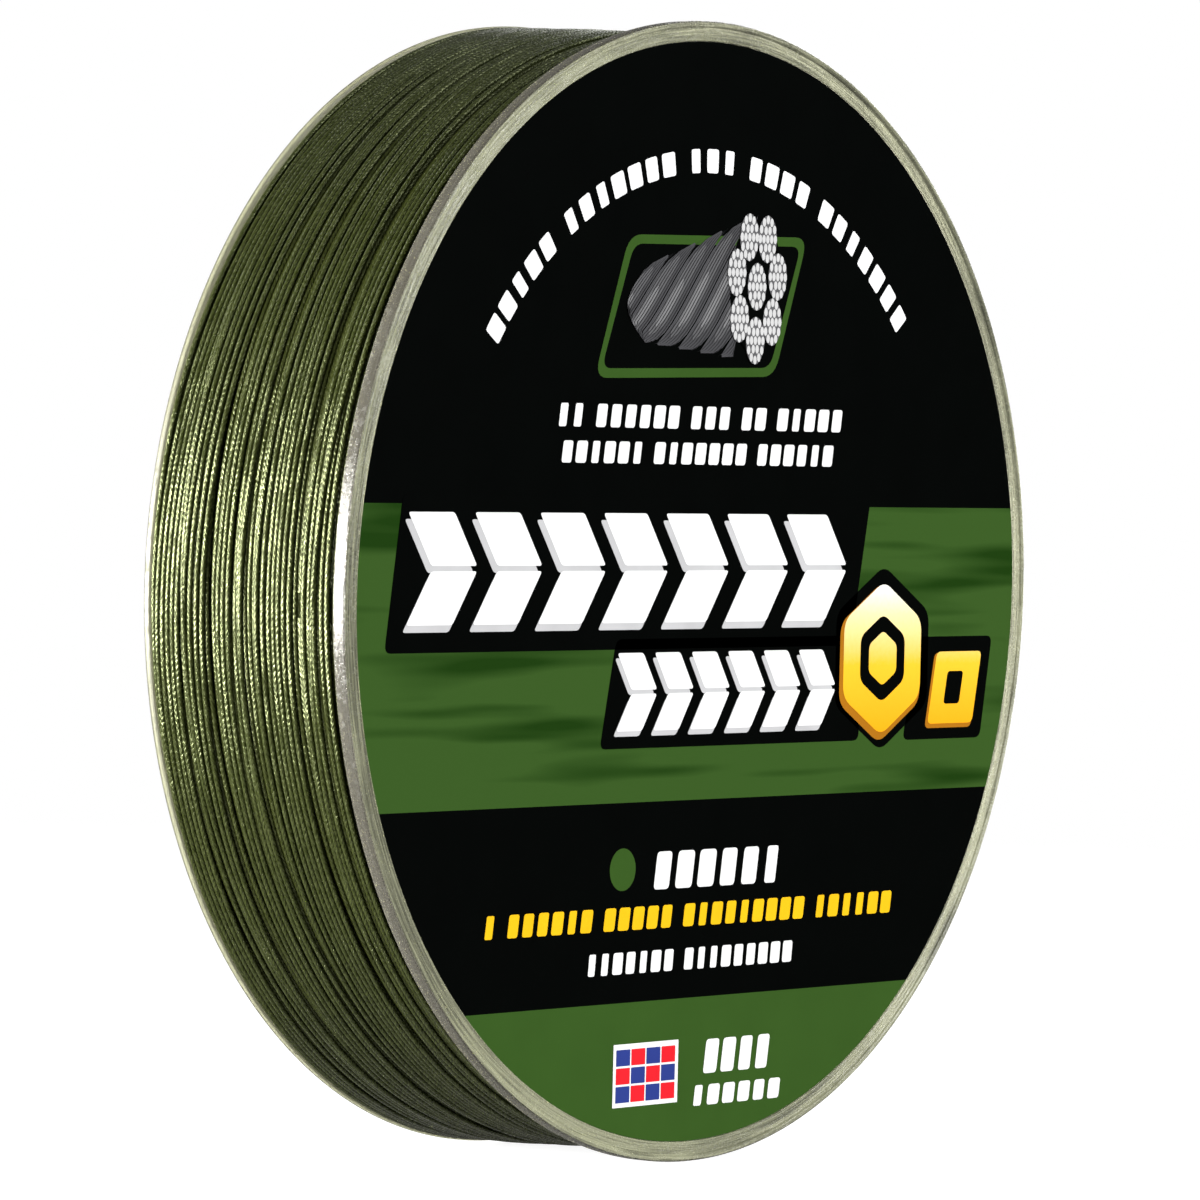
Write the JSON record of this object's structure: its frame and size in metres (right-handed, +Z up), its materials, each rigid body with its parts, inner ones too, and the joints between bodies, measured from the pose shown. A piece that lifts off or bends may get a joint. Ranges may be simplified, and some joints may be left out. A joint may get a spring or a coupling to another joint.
{
  "type": "fishing line spool",
  "caption": "Clear flanged filler spool, full of braided fishing line, with a round printed label and a centre bore for a spindle.",
  "frame": {"origin": "middle of the spool on its axis, halfway between the outer faces of the two flanges", "axes": "+Y along the spool's axis, out of the open mouth of the arbor bore; the printed face looks along -Y; +Z up as the spool stands on its flanges"},
  "size_m": [0.1, 0.022, 0.1],
  "materials": {
    "clear_plastic": "clear moulded polystyrene, glossy, slightly warm",
    "braided_line": "moss green braided polyethylene, lightly coated",
    "tape": "satin adhesive tape",
    "label_paper": "gloss coated print in black, green, yellow and white"
  },
  "bodies": {
    "root": {"front_flange": "clear_plastic", "rear_flange": "clear_plastic", "hub_drum": "clear_plastic", "hub_ribs": "clear_plastic", "arbor_sleeve": "clear_plastic", "wound_line": "braided_line", "line_start_tape": "tape", "line_end_tape": "tape", "front_label": "label_paper", "rear_label": "label_paper"}
  },
  "joints": []
}
